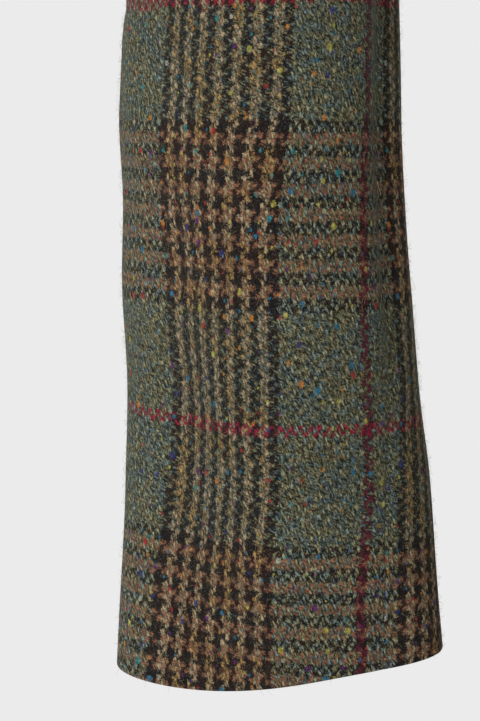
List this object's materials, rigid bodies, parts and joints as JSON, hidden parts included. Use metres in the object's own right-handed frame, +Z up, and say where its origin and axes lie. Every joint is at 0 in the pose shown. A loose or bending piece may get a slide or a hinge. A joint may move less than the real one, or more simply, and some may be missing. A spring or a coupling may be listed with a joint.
{
  "type": "tweed blazer",
  "caption": "Single-breasted tweed blazer in its worn, hollow shape, with notched lapels, flap pockets and plain cuffs.",
  "frame": {"origin": "middle of the neck opening, level with the neck ends of the shoulder seams, where the wearer's shoulders carry the blazer", "axes": "+Z up, -Y the front of the blazer, +X the wearer's left"},
  "size_m": [0.6936, 0.2737, 0.781],
  "materials": {
    "tweed": "milled wool tweed, moss green ground with tan and dark check bands, burgundy overcheck lines and coloured neps",
    "button": "dark brown horn-look button with four holes, softly polished"
  },
  "bodies": {
    "root": {"front_left": "tweed", "front_right": "tweed", "side_left": "tweed", "side_right": "tweed", "back_left": "tweed", "back_right": "tweed", "lapel_left": "tweed", "lapel_right": "tweed", "collar": "tweed", "pocket_flap_left": "tweed", "pocket_flap_right": "tweed", "top_sleeve_left": "tweed", "top_sleeve_right": "tweed", "under_sleeve_left": "tweed", "under_sleeve_right": "tweed", "button_1": "button", "button_2": "button"}
  },
  "joints": []
}
